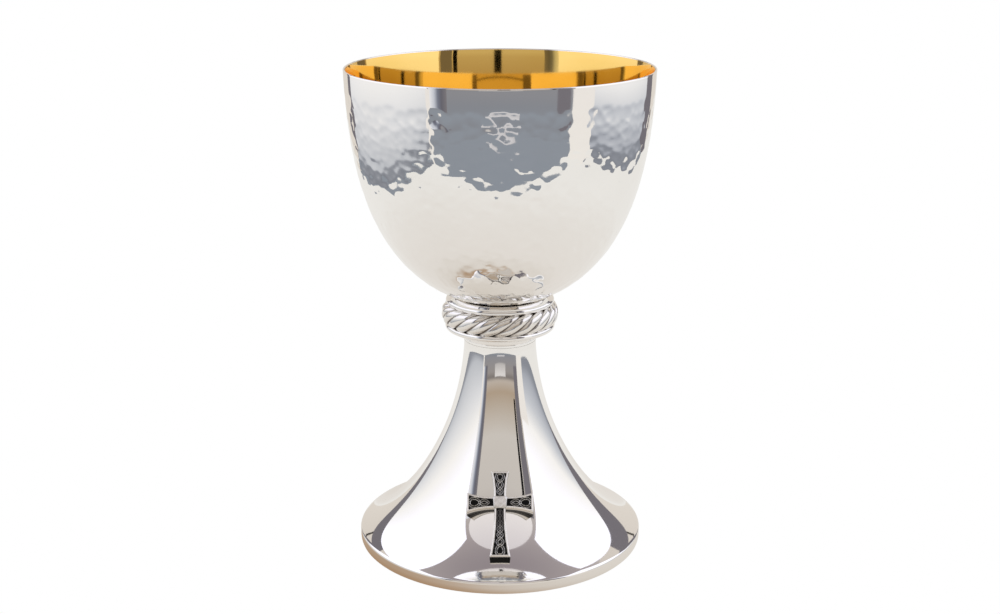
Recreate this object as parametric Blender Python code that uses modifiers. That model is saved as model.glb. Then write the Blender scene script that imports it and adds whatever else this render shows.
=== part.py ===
"""A stemmed altar cup: a hammered bowl with a gilt inner cup, a rope-twist knop, and a flared
foot that carries a small cast cross. One threaded tie rod on the axis pulls it all together.

Lengths are in millimetres and angles in degrees. Heights are above the surface that the foot
stands on. The cup's axis is Z, and its front, with the cross, faces -Y. An outline is a list
of (radius, height) points that runs down a piece's outer side and back up its inner side.
"""

import math

import bmesh
import bpy
from mathutils import Matrix, Vector

MM = 0.001
WELD = 0.00001
GAP = 0.3
SHELL_SEGMENTS = 40
CORE_SEGMENTS = 28
SMALL_SEGMENTS = 16
SHARP_ANGLE = 35.0

# Bowl and its gilt inner cup
BOWL_CURVE = ((58.0, 187.3), (57.0, 140.7), (45.5, 101.3), (0.0, 95.4))
BOWL_STEPS = 9
BOWL_WALL = 1.1
LIP_ROUND = 0.3
DISH_EDGE = 18.0
DISH_RADIUS = 47.0
DISH_BOTTOM = 96.5
DISH_STEPS = 2
LINER_WALL = 0.6
LINER_DROP = 0.7

# Knop: boss under the bowl, turned core, collars and rope ring
BOSS_RADIUS = 9.0
BOSS_BOTTOM = 91.0
BOSS_BORE_TOP = 95.0
CORE_RADIUS = 14.2
CORE_TOP = 96.8
CORE_BOTTOM = 88.55
UPPER_COLLAR = (
    (17.9, 99.7), (20.3, 98.9), (20.95, 98.2), (20.4, 97.15), (13.2, 97.15), (13.2, 97.95),
)
LOWER_COLLAR = (
    (20.9, 88.75), (21.2, 88.3), (20.9, 87.2), (19.2, 85.4), (16.0, 84.1), (14.2, 83.3),
)
LOWER_COLLAR_SEAT = (19.8, 88.25)
ROPE_CENTRE = (18.6, 92.7)
ROPE_HALF_WIDTH = 4.05
ROPE_HALF_HEIGHT = 4.15
ROPE_FULLNESS = 2.5
ROPE_STRANDS = 22
ROPE_TWIST = 5
GROOVE_DEPTH = 0.55
STEPS_PER_STRAND = 4
ROPE_SECTION_STEPS = 8

# Foot: one spun trumpet, stiffened by a ring at its edge and closed by a plug at its neck
NECK_CURVE = ((13.85, 81.7), (14.9, 62.1), (20.55, 47.8), (24.05, 40.4))
FLARE_CURVE = ((24.05, 40.4), (26.15, 36.0), (36.9, 12.8), (55.7, 4.7))
NECK_STEPS = 5
FLARE_STEPS = 7
FOOT_EDGE = ((56.0, 3.8), (56.0, 1.2), (55.6, 0.0))
FOOT_WALL = 1.2
SKIRT_INSIDE = 54.6
RING_INSIDE = 50.0
CAP_TOP = 83.0
CAP_LIP = 1.0
CAP_BOTTOM = 78.5

# Tie rod, M8, and its fasteners inside the neck
ROD_RADIUS = 4.0
ROD_BOTTOM = 64.0
ROD_CLEARANCE = 4.4
WASHER = (10.5, 77.0, 78.2)
LOCK_WASHER = (7.4, 74.7, 76.7)
LOCK_WASHER_SPLIT = 1.2
LOCK_WASHER_SPLIT_TILT = 35.0
NUT_CORNER_RADIUS = 7.5
NUT_BOTTOM = 67.9
NUT_TOP = 74.4

# Cross: a flat casting that leans back on the flare, held by two studs through the wall
CROSS_CENTRE = (36.18, 28.34)
CROSS_LEAN = 38.2
CROSS_THICKNESS = 2.8
CROSS_RECESS = 0.5
CROSS_BORDER = 0.6
ARM_STEPS = 4
ARM_FLARE = 2.2
# Each arm: direction it points in, length from the centre, half-width at its waist and its end
ARMS = (
    ((1.0, 0.0), 12.55, 2.15, 3.8),
    ((0.0, 1.0), 12.07, 2.3, 3.4),
    ((-1.0, 0.0), 12.55, 2.15, 3.8),
    ((0.0, -1.0), 20.72, 2.1, 3.9),
)
CROSS_BOSS_HALF = (2.5, 2.35)
CROSS_BOSS_HEIGHT = 0.9
STUD_RADIUS = 1.1
STUD_LENGTH = 5.2
STUD_HOLE_RADIUS = 1.5
CLIP_RADIUS = 2.6
CLIP_HOLE_RADIUS = 1.45
CLIP_THICKNESS = 0.8
# Each stud: its name, its place along the cross from the centre, and its clip's depth
STUDS = (
    ("upper", 6.0, 6.5),
    ("lower", -11.0, 6.9),
)


def clear_scene():
    for leftover in list(bpy.data.objects):
        bpy.data.objects.remove(leftover, do_unlink=True)


def new_collection(name):
    collection = bpy.data.collections.new(name)
    bpy.context.scene.collection.children.link(collection)
    return collection


def metal(name, colour, roughness):
    material = bpy.data.materials.new(name)
    material.use_nodes = True
    shader = material.node_tree.nodes["Principled BSDF"]
    shader.inputs["Base Color"].default_value = (*colour, 1.0)
    shader.inputs["Metallic"].default_value = 1.0
    shader.inputs["Roughness"].default_value = roughness
    return material


# ---------------------------------------------------------------- outlines

def curve_points(curve, steps):
    """Points along a cubic Bezier curve given by its two ends and two handles."""
    points = []
    for step in range(steps + 1):
        t = step / steps
        weights = ((1 - t) ** 3, 3 * t * (1 - t) ** 2, 3 * t * t * (1 - t), t ** 3)
        radius = sum(w * point[0] for w, point in zip(weights, curve))
        height = sum(w * point[1] for w, point in zip(weights, curve))
        points.append((radius, height))
    return points


def inset(points, distance):
    """The outline moved towards the inside of a shell by this distance."""
    moved = []
    for index, (radius, height) in enumerate(points):
        before = points[max(index - 1, 0)]
        after = points[min(index + 1, len(points) - 1)]
        run, rise = after[0] - before[0], after[1] - before[1]
        if radius == 0.0:
            rise = 0.0
        length = math.hypot(run, rise)
        moved.append((radius + distance * rise / length, height - distance * run / length))
    return moved


def height_at(points, radius):
    """The height of an outline, whose radius only grows, at one radius."""
    for inner, outer in zip(points, points[1:]):
        if inner[0] <= radius <= outer[0]:
            share = (radius - inner[0]) / (outer[0] - inner[0])
            return inner[1] + share * (outer[1] - inner[1])
    raise ValueError("the outline doesn't reach that radius")


def bowl_outside():
    """The bowl's outer line from the lip to the axis: a long curve, then a shallow dish."""
    side = [point for point in curve_points(BOWL_CURVE, BOWL_STEPS) if point[0] > DISH_EDGE + 1]
    dish = []
    for step in range(DISH_STEPS + 1):
        radius = DISH_EDGE * (1 - step / DISH_STEPS)
        sag = DISH_RADIUS - math.sqrt(DISH_RADIUS ** 2 - radius ** 2)
        dish.append((radius, DISH_BOTTOM + sag))
    return side + dish


def flare_outside():
    return curve_points(NECK_CURVE, NECK_STEPS) + curve_points(FLARE_CURVE, FLARE_STEPS)[1:]


def washer_outline(outer, inner, bottom, top):
    return [(outer, top), (outer, bottom), (inner, bottom), (inner, top)]


# ---------------------------------------------------------------- making pieces

def add_object(name, mesh, material, collection):
    piece = bpy.data.objects.new(name, mesh)
    if material:
        mesh.materials.append(material)
    collection.objects.link(piece)
    return piece


def smooth_shaded(piece):
    piece.data.shade_smooth()
    piece.data.set_sharp_from_angle(angle=math.radians(SHARP_ANGLE))


def turned(name, outline, segments, material, collection):
    """A solid of revolution. An outline that ends on the axis stays open, any other is closed."""
    mesh = bpy.data.meshes.new(name)
    points = [(radius * MM, 0.0, height * MM) for radius, height in outline]
    edges = [(index, index + 1) for index in range(len(points) - 1)]
    if outline[0][0] > 0.0:
        edges.append((len(points) - 1, 0))
    mesh.from_pydata(points, edges, [])
    piece = add_object(name, mesh, material, collection)
    screw = piece.modifiers.new("Turn", "SCREW")
    screw.steps = segments
    screw.render_steps = segments
    screw.use_merge_vertices = True
    screw.merge_threshold = WELD
    screw.use_smooth_shade = True
    return piece


def cylinder(name, radius, depth, segments, material, collection):
    """A plain cylinder along its own Z, centred on its origin."""
    mesh = bpy.data.meshes.new(name)
    shape = bmesh.new()
    bmesh.ops.create_cone(
        shape, cap_ends=True, segments=segments, radius1=radius * MM, radius2=radius * MM, depth=depth * MM
    )
    shape.to_mesh(mesh)
    shape.free()
    return add_object(name, mesh, material, collection)


def as_cutter(piece):
    piece.hide_render = True
    piece.display_type = "WIRE"
    return piece


def cut(piece, cutter, operation="DIFFERENCE"):
    boolean = piece.modifiers.new(cutter.name, "BOOLEAN")
    boolean.operation = operation
    boolean.object = cutter
    boolean.solver = "EXACT"


def solid_from_outline(name, corners, thickness, material, collection):
    """A flat plate from a 2D curve, made a mesh and welded. It is centred on its own plane."""
    curve = bpy.data.curves.new(name, "CURVE")
    curve.dimensions = "2D"
    curve.fill_mode = "BOTH"
    curve.extrude = thickness * MM / 2
    spline = curve.splines.new("POLY")
    spline.points.add(len(corners) - 1)
    for point, corner in zip(spline.points, corners):
        point.co = (corner[0] * MM, corner[1] * MM, 0.0, 1.0)
    spline.use_cyclic_u = True
    source = bpy.data.objects.new(name + "_curve", curve)
    collection.objects.link(source)
    evaluated = source.evaluated_get(bpy.context.evaluated_depsgraph_get())
    mesh = bpy.data.meshes.new_from_object(evaluated)
    mesh.name = name
    matrix = source.matrix_world.copy()
    bpy.data.objects.remove(source, do_unlink=True)
    shape = bmesh.new()
    shape.from_mesh(mesh)
    bmesh.ops.remove_doubles(shape, verts=shape.verts, dist=WELD)
    bmesh.ops.recalc_face_normals(shape, faces=shape.faces)
    shape.to_mesh(mesh)
    shape.free()
    mesh.materials.clear()
    piece = add_object(name, mesh, material, collection)
    piece.matrix_world = matrix
    return piece


# ---------------------------------------------------------------- bowl

def make_bowl(parts, silver, gilt, steel):
    outside = bowl_outside()
    lip_radius, lip_height = outside[0]
    inside = inset(outside, BOWL_WALL)
    inner_radius = inside[0][0]
    lip = [
        (inner_radius, lip_height - LIP_ROUND),
        (inner_radius + LIP_ROUND, lip_height),
        (lip_radius - LIP_ROUND, lip_height),
        (lip_radius, lip_height - LIP_ROUND),
    ]
    turned("bowl_shell", inside[:0:-1] + lip + outside[1:], SHELL_SEGMENTS, silver, parts)

    liner_top = lip_height - LINER_DROP
    liner_outside = inset(outside, BOWL_WALL + GAP)
    liner_inside = inset(outside, BOWL_WALL + GAP + LINER_WALL)
    liner_outside[0] = (liner_outside[0][0], liner_top)
    liner_inside[0] = (liner_inside[0][0], liner_top)
    turned("inner_cup", liner_inside[::-1] + liner_outside, SHELL_SEGMENTS, gilt, parts)

    dish = [point for point in inset(outside, -GAP) if point[0] < BOSS_RADIUS]
    sag = DISH_RADIUS - math.sqrt(DISH_RADIUS ** 2 - BOSS_RADIUS ** 2)
    boss = dish[::-1] + [
        (BOSS_RADIUS, DISH_BOTTOM + sag - GAP),
        (BOSS_RADIUS, BOSS_BOTTOM),
        (ROD_CLEARANCE, BOSS_BOTTOM),
        (ROD_CLEARANCE, BOSS_BORE_TOP),
        (0.0, BOSS_BORE_TOP),
    ]
    turned("bowl_boss", boss, CORE_SEGMENTS, steel, parts)


# ---------------------------------------------------------------- knop

def rope_point(around, across):
    """A point on the rope ring, at an angle around the cup and an angle across its section."""
    power = 2 / ROPE_FULLNESS
    out = math.copysign(abs(math.cos(across)) ** power, math.cos(across))
    up = math.copysign(abs(math.sin(across)) ** power, math.sin(across))
    phase = ROPE_STRANDS * around - ROPE_TWIST * across
    groove = GROOVE_DEPTH * (1 - abs(math.sin(phase / 2)) ** 0.7)
    radius = ROPE_CENTRE[0] + (ROPE_HALF_WIDTH - groove) * out
    height = ROPE_CENTRE[1] + (ROPE_HALF_HEIGHT - groove) * up
    return Vector((radius * math.cos(around), radius * math.sin(around), height)) * MM


def make_rope_ring(parts, silver):
    bpy.ops.mesh.primitive_torus_add(
        major_segments=ROPE_STRANDS * STEPS_PER_STRAND,
        minor_segments=ROPE_SECTION_STEPS,
        major_radius=ROPE_CENTRE[0] * MM,
        minor_radius=ROPE_HALF_WIDTH * MM,
    )
    ring = bpy.context.object
    ring.name = "rope_ring"
    for vertex in ring.data.vertices:
        x, y, z = vertex.co
        around = math.atan2(y, x)
        across = math.atan2(z, math.hypot(x, y) - ROPE_CENTRE[0] * MM)
        vertex.co = rope_point(around, across)
    for collection in ring.users_collection:
        collection.objects.unlink(ring)
    parts.objects.link(ring)
    ring.data.materials.append(silver)
    smooth_shaded(ring)


def make_knop(parts, silver, steel):
    core = [
        (CORE_RADIUS, CORE_TOP),
        (CORE_RADIUS, CORE_BOTTOM),
        (ROD_CLEARANCE, CORE_BOTTOM),
        (ROD_CLEARANCE, BOSS_BOTTOM - GAP),
        (BOSS_RADIUS + GAP, BOSS_BOTTOM - GAP),
        (BOSS_RADIUS + GAP, CORE_TOP),
    ]
    turned("knop_core", core, CORE_SEGMENTS, steel, parts)
    turned("upper_collar", UPPER_COLLAR, SHELL_SEGMENTS, silver, parts)
    bottom, top = LOWER_COLLAR[-1][1], LOWER_COLLAR_SEAT[1]
    bore = ((ROD_CLEARANCE, bottom), (ROD_CLEARANCE, top), LOWER_COLLAR_SEAT)
    turned("lower_collar", LOWER_COLLAR + bore, SHELL_SEGMENTS, silver, parts)
    make_rope_ring(parts, silver)


# ---------------------------------------------------------------- foot

def make_foot(parts, cutters, silver, steel):
    outside = flare_outside()
    lining = inset(outside, FOOT_WALL)
    inside = [point for point in lining if point[0] < SKIRT_INSIDE]
    inside[0] = (inside[0][0], outside[0][1])
    skirt_top = (SKIRT_INSIDE, height_at(lining, SKIRT_INSIDE))
    skirt = [(SKIRT_INSIDE, 0.0), skirt_top]
    outline = outside + list(FOOT_EDGE) + skirt + inside[::-1]
    shell = turned("foot_shell", outline, SHELL_SEGMENTS, silver, parts)
    for name, along, _ in STUDS:
        hole = cylinder("stud_hole_" + name, STUD_HOLE_RADIUS, STUD_LENGTH, SMALL_SEGMENTS, None, cutters)
        place_on_cross(hole, along, CROSS_THICKNESS + STUD_LENGTH / 2)
        cut(shell, as_cutter(hole))

    ring_outside = SKIRT_INSIDE - GAP
    ring = [
        (ring_outside, skirt_top[1] - GAP),
        (ring_outside, 0.0),
        (RING_INSIDE, 0.0),
        (RING_INSIDE, height_at(lining, RING_INSIDE) - 2 * GAP),
    ]
    turned("foot_ring", ring, SHELL_SEGMENTS, steel, parts)

    neck_top = outside[0][1]
    cap = [
        (outside[0][0], CAP_TOP),
        (outside[0][0], CAP_TOP - CAP_LIP + GAP),
        (inside[0][0] - GAP, neck_top),
        (inside[0][0] - GAP, CAP_BOTTOM),
        (ROD_CLEARANCE, CAP_BOTTOM),
        (ROD_CLEARANCE, CAP_TOP),
    ]
    turned("stem_cap", cap, SHELL_SEGMENTS, steel, parts)


def make_tie(parts, cutters, steel):
    rod_top = BOSS_BORE_TOP - GAP
    rod = cylinder("tie_rod", ROD_RADIUS, rod_top - ROD_BOTTOM, SMALL_SEGMENTS, steel, parts)
    rod.location.z = (rod_top + ROD_BOTTOM) / 2 * MM

    radius, bottom, top = WASHER
    turned("flat_washer", washer_outline(radius, ROD_CLEARANCE, bottom, top), CORE_SEGMENTS, steel, parts)

    radius, bottom, top = LOCK_WASHER
    outline = washer_outline(radius, ROD_CLEARANCE, bottom, top)
    lock_washer = turned("lock_washer", outline, CORE_SEGMENTS, steel, parts)
    bpy.ops.mesh.primitive_cube_add(size=1.0)
    split = bpy.context.object
    split.name = "lock_washer_split"
    split.scale = (radius * MM, LOCK_WASHER_SPLIT * MM, 2 * (top - bottom) * MM)
    split.location = (radius * MM, 0.0, (top + bottom) / 2 * MM)
    split.rotation_euler.x = math.radians(LOCK_WASHER_SPLIT_TILT)
    for collection in split.users_collection:
        collection.objects.unlink(split)
    cutters.objects.link(split)
    cut(lock_washer, as_cutter(split))

    height = NUT_TOP - NUT_BOTTOM
    nut = cylinder("hex_nut", NUT_CORNER_RADIUS, height, 6, steel, parts)
    hole = cylinder("nut_hole", ROD_CLEARANCE, 2 * height, SMALL_SEGMENTS, None, cutters)
    for piece in (nut, hole):
        piece.location.z = (NUT_TOP + NUT_BOTTOM) / 2 * MM
    cut(nut, as_cutter(hole))


# ---------------------------------------------------------------- cross

def place_on_cross(piece, along, depth):
    """Moves a piece so that its Z is square to the cross's face, this far along it and behind it."""
    lean = math.radians(CROSS_LEAN)
    across = Vector((1.0, 0.0, 0.0))
    upward = Vector((0.0, math.sin(lean), math.cos(lean)))
    outward = across.cross(upward)
    centre = Vector((0.0, -CROSS_CENTRE[0], CROSS_CENTRE[1]))
    place = (centre + along * upward - depth * outward) * MM
    turn = Matrix((across, upward, outward)).transposed().to_4x4()
    piece.matrix_world = Matrix.Translation(place) @ turn


def cross_outline(border):
    """The cross's outline, counter-clockwise, drawn in by a border. Each arm widens to its end."""
    corners = []
    for index, (direction, length, waist, end) in enumerate(ARMS):
        side = (-direction[1], direction[0])
        before, after = ARMS[index - 1][2], ARMS[(index + 1) % len(ARMS)][2]
        starts = (before - border, after - border)
        for sign, start in zip((-1, 1), starts):
            run = []
            for step in range(ARM_STEPS + 1):
                share = step / ARM_STEPS
                reach = start + share * (length - border - start)
                half = waist + (end - waist) * share ** ARM_FLARE - border
                run.append([reach * direction[axis] + sign * half * side[axis] for axis in (0, 1)])
            corners += run if sign < 0 else run[-1:0:-1]
    return corners


def make_cross_boss(cutters):
    """The raised centre: a low pillow with rounded corners, joined to the casting."""
    mesh = bpy.data.meshes.new("cross_boss")
    shape = bmesh.new()
    bmesh.ops.create_uvsphere(shape, u_segments=12, v_segments=6, radius=1.0)
    for vertex in shape.verts:
        x, y, z = vertex.co
        plan = (abs(x) ** 4 + abs(y) ** 4) ** 0.25
        square = math.hypot(x, y) / plan if plan > WELD else 1.0
        half_x, half_y = CROSS_BOSS_HALF
        height = CROSS_BOSS_HEIGHT * z if z > 0 else CROSS_THICKNESS / 2 * z
        vertex.co = Vector((x * square * half_x, y * square * half_y, height)) * MM
    shape.to_mesh(mesh)
    shape.free()
    boss = add_object("cross_boss", mesh, None, cutters)
    place_on_cross(boss, 0.0, 0.0)
    return as_cutter(boss)


def make_cross(parts, cutters, silver, steel):
    plate = solid_from_outline("cross_body", cross_outline(0.0), CROSS_THICKNESS, silver, parts)
    place_on_cross(plate, 0.0, CROSS_THICKNESS / 2)
    field = solid_from_outline("cross_field", cross_outline(CROSS_BORDER), 2 * CROSS_RECESS, None, cutters)
    place_on_cross(field, 0.0, 0.0)
    cut(plate, as_cutter(field))
    cut(plate, make_cross_boss(cutters), "UNION")

    for name, along, depth in STUDS:
        stud = cylinder("cross_stud_" + name, STUD_RADIUS, STUD_LENGTH, SMALL_SEGMENTS, steel, parts)
        place_on_cross(stud, along, CROSS_THICKNESS + GAP + STUD_LENGTH / 2)
        clip_outline = washer_outline(
            CLIP_RADIUS, CLIP_HOLE_RADIUS, -CLIP_THICKNESS / 2, CLIP_THICKNESS / 2
        )
        clip = turned("cross_clip_" + name, clip_outline, SMALL_SEGMENTS, steel, parts)
        place_on_cross(clip, along, depth)


def main():
    clear_scene()
    parts = new_collection("altar_cup")
    cutters = new_collection("cutters")
    silver = metal("silver_plate", (0.86, 0.85, 0.82), 0.08)
    gilt = metal("gilt", (0.95, 0.62, 0.16), 0.08)
    antique = metal("antiqued_silver", (0.35, 0.34, 0.33), 0.35)
    steel = metal("turned_steel", (0.55, 0.55, 0.55), 0.3)
    make_bowl(parts, silver, gilt, steel)
    make_knop(parts, silver, steel)
    make_foot(parts, cutters, silver, steel)
    make_tie(parts, cutters, steel)
    make_cross(parts, cutters, antique, steel)


main()
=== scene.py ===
"""Looks of a stemmed altar cup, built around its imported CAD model.

Each CAD node is shown by a finely made piece of the same size: a hand-hammered bowl, a gilt inner
cup, turned collars, a rope-twist ring, a flared foot and a cast cross with knotwork.
Outlines repeat the CAD's, in millimetres. The cup's axis is Z and its front faces -Y.
"""

import math

import bmesh
import bpy
import numpy as np
from mathutils import Matrix, Vector
from mathutils.kdtree import KDTree


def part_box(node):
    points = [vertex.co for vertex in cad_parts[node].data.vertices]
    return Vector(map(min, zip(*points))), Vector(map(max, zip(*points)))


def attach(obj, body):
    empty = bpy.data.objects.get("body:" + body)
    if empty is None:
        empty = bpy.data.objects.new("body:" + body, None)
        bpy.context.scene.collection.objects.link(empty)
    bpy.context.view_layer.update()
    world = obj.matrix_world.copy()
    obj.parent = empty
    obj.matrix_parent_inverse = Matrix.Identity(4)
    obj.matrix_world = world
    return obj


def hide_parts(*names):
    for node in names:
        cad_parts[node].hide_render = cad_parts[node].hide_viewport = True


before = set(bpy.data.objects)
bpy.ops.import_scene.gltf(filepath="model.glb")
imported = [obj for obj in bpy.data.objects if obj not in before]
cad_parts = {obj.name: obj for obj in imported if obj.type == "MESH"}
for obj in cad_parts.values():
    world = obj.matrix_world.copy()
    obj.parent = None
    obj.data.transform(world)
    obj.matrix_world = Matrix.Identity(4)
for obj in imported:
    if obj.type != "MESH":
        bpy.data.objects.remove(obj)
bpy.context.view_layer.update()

BODY = "root"
MM = 0.001
GAP = 0.3
RANDOM = np.random.default_rng(7)

# How finely the pieces are cut: steps along their outlines in millimetres, and divisions round
BOWL_STEP = 0.68
LINER_STEP = 1.1
UNSEEN_STEP = 8.0
FOOT_STEP = 0.8
FOOT_INSIDE_STEP = 2.0
BOWL_SEGMENTS = 460
TURNED_SEGMENTS = 288
COLLAR_SEGMENTS = 224
PLUG_SEGMENTS = 192
CORE_SEGMENTS = 128
SMALL_SEGMENTS = 96
ROD_SEGMENTS = 48
CLIP_SEGMENTS = 64
STRAND_SEGMENTS = 24
ROPE_SECTION_POINTS = 96
PATCH_STEPS = 38
PATCH_ROW = 0.11

CAMERA_PLACE = (0.0, -0.5554, 0.2593)
CAMERA_TILT = 73.47
CAMERA_LENS = 53.74

# Sizes that the CAD model gives
BOWL_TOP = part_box("bowl_shell")[1][2] / MM
BOWL_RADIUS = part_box("bowl_shell")[1][0] / MM
ROD_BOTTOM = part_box("tie_rod")[0][2] / MM
ROD_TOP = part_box("tie_rod")[1][2] / MM
ROD_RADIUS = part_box("tie_rod")[1][0] / MM

# Bowl and inner cup
BOWL_CURVE = ((BOWL_RADIUS, BOWL_TOP), (57.0, 140.7), (45.5, 101.3), (0.0, 95.4))
BOWL_WALL = 1.1
LIP_ROUND = 0.35
DISH_EDGE = 18.0
DISH_RADIUS = 47.0
DISH_BOTTOM = 96.5
LINER_WALL = 0.6
LINER_DROP = 0.35
BOSS_RADIUS = 9.0
BOSS_BOTTOM = 91.0
BOSS_BORE_TOP = 95.0
HAMMERED_FROM = 179.0
BLOW_SPACING = 2.6
BLOW_WAVER = 0.36
BLOW_CURVE = (17.0, 46.0)
BLOW_DEPTH = (0.0, 0.016)
BLOW_TILT = 0.027
FACETS_COMPARED = 5
FADE_ABOVE = 1.0
FADE_LENGTH = 1.4
LIP_FLARE_DEPTH = 15.0
BOWL_OPENING = 0.42
LINER_OUTSIDE_OPENING = 0.68
LINER_OPENING = 1.15

# Knop
CORE_RADIUS = 14.2
CORE_TOP = 96.8
CORE_BOTTOM = 88.55
ROD_CLEARANCE = 4.4
ROPE_CENTRE = (18.6, 92.7)
ROPE_HALF_WIDTH = 4.05
ROPE_HALF_HEIGHT = 4.15
ROPE_FULLNESS = 2.5
ROPE_STRANDS = 22
ROPE_TWIST = 5
GROOVE_DEPTH = 0.85
GROOVE_SHARPNESS = 0.46
ROPE_PHASE = 0.6
COLLAR_TOP = ((17.9, 99.7), (18.3, 99.62), (20.15, 99.0))
COLLAR_SHOULDER = ((20.2, 98.95), (21.05, 98.75), (21.3, 97.5), (20.4, 96.85))
COLLAR_INSIDE = ((20.0, 96.75), (13.4, 96.75), (13.2, 96.9), (13.2, 97.95))
BEAD_CURVE = ((20.5, 88.9), (21.5, 88.7), (21.5, 87.3), (20.7, 86.8))
BEAD_TAPER = ((20.7, 86.8), (19.2, 85.9), (16.0, 84.6), (14.3, 83.3))
BEAD_INSIDE = (
    (14.0, 83.05), (ROD_CLEARANCE, 83.05), (ROD_CLEARANCE, 88.25), (19.8, 88.25), (20.1, 88.7),
)

# Foot
NECK_CURVE = ((13.85, 81.7), (14.9, 62.1), (20.55, 47.8), (24.05, 40.4))
FLARE_CURVE = ((24.05, 40.4), (26.15, 36.0), (36.9, 12.8), (55.7, 4.7))
NECK_RADIUS = 13.98
NECK_TOP = 82.0
FOOT_WALL = 1.2
EDGE_CURVE = ((55.7, 4.7), (56.05, 4.5), (56.1, 4.0), (56.0, 3.4))
EDGE_BELOW = ((56.0, 2.4), (56.0, 1.3), (55.95, 0.8), (55.8, 0.35), (55.5, 0.05), (55.2, 0.0))
SKIRT_INSIDE = 54.6
SKIRT_FOOT = 54.85
RING_INSIDE = 50.0
CAP_TOP = 83.0
CAP_BOTTOM = 78.5
SEAM = 0.02

# Fasteners
THREAD_PITCH = 1.25
THREAD_DEPTH = 0.6
NUT_ACROSS_FLATS = 13.0
NUT_BOTTOM = 67.9
NUT_TOP = 74.4
THREAD_STEPS = 8
NUT_OUTER_ROWS = 33
NUT_BORE_ROWS = 42

# Cross
CROSS_CENTRE = (36.18, 28.34)
CROSS_LEAN = 38.2
CROSS_THICKNESS = 2.8
CROSS_FIELD = 0.55
ARM_FLARE = 2.2
# Each arm: its direction, its length from the centre, and its half-width at its waist and its end
ARMS = (
    ((1.0, 0.0), 12.55, 2.15, 3.8),
    ((0.0, 1.0), 12.07, 2.3, 3.4),
    ((-1.0, 0.0), 12.55, 2.15, 3.8),
    ((0.0, -1.0), 20.72, 2.1, 3.9),
)
BOSS_HALF = (2.85, 2.6)
BOSS_HEIGHT = 0.9
STUDS = (("upper", 6.0, 6.5), ("lower", -11.0, 6.9))
STUD_RADIUS = 1.1
STUD_LENGTH = 5.2
CLIP_OUTLINE = ((2.6, 0.4), (2.6, -0.4), (1.45, -0.4), (1.45, 0.4))
# Each arm's knot: where its strands cross, how far they swing, where the end loop stops, how crisp it is
KNOTS = (
    ((4.3, 7.7), (0.95, 1.75), 11.5, (0.4, 0.85)),
    ((3.2, 5.3, 8.4), (0.85, 0.95, 1.45), 11.3, (0.7, 0.85)),
    ((4.3, 7.7), (0.95, 1.75), 11.5, (0.4, 0.85)),
    ((2.9, 5.0, 7.1, 9.2, 11.3, 13.6, 16.5), (0.7, 0.7, 0.75, 0.8, 0.85, 1.15, 1.6), 19.9, (0.15, 0.85)),
)
STRAND_HALF = 0.52
STRAND_RIDGE = 0.37
STRAND_SWELL = 0.2
RIDGE_HEIGHT = 0.28
RIDGE_SPREAD = 0.13
EDGE_ROUND = 0.4
BORDER = 0.8
BORDER_SLOPE = 0.24
# Share of the cross's depth below its face where its sides turn dark, along the arms and at the bottom
# end
SIDE_DARK_FROM = 0.52
END_DARK_FROM = 0.2
BACK_STEPS = 120
BACK_STEP = 0.03
BACK_CLEARANCE = 1.3 * GAP


# ---------------------------------------------------------------- camera and studio

def srgb(red, green, blue):
    """A linear colour from display values of 0 to 255."""
    linear = []
    for value in (red, green, blue):
        share = value / 255
        linear.append(share / 12.92 if share <= 0.04045 else ((share + 0.055) / 1.055) ** 2.4)
    return (*linear, 1.0)


BRIGHT = (1.16, 1.16, 1.3, 1.0)
WHITE = (1.0, 1.0, 1.0, 1.0)
FLAG_GREY = srgb(118, 114, 120)
BLACK = srgb(14, 14, 15)
RAIL_GREY = srgb(74, 70, 67)
FLOOR_HALF = 12.0
ROOM_RADIUS = 5.0
TABLE_CORNERS = ((-0.32, -0.275, 0), (0.41, -0.275, 0), (0.41, 1.6, 0), (-0.32, 1.6, 0))
# The table's painted shadow is centred on this point, under the cup.
TABLE_SHADOW_MIDDLE = (-0.01, -0.01, 0.0)
FLAG_DISTANCE = 0.8
BOARD_DISTANCE = 0.42
WINDOW_DISTANCE = 2.0
LAMP_PLACE = (0.02, -0.62, 0.98)
LAMP_TILT = 32.0
LAMP_COLOUR = (0.985, 0.985, 1.0)
LAMP_WIDTH = 1.25
LAMP_HEIGHT = 0.5
LAMP_BRIGHTNESS = 0.36
# Colours of the room from its bottom to its top, and of the table out from under the cup in metres, with
# a warm painted shadow close to the cup
ROOM_STOPS = (
    (0.0, srgb(134, 142, 152)), (0.34, srgb(143, 149, 158)), (0.40, srgb(136, 139, 146)),
    (0.43, srgb(144, 143, 147)), (0.47, srgb(152, 146, 143)), (0.485, srgb(126, 119, 116)),
    (0.497, srgb(190, 179, 168)), (0.53, srgb(176, 158, 138)), (0.58, srgb(188, 176, 162)),
    (0.66, srgb(206, 200, 193)), (0.80, srgb(200, 194, 188)), (0.93, srgb(166, 157, 158)),
    (1.0, srgb(146, 137, 141)),
)
TABLE_SHADOW_STOPS = (
    (0.044, srgb(172, 143, 115)), (0.048, srgb(188, 168, 148)), (0.053, srgb(208, 199, 189)),
    (0.06, srgb(220, 214, 206)), (0.09, srgb(228, 223, 217)), (0.3, srgb(237, 235, 231)),
)
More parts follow.
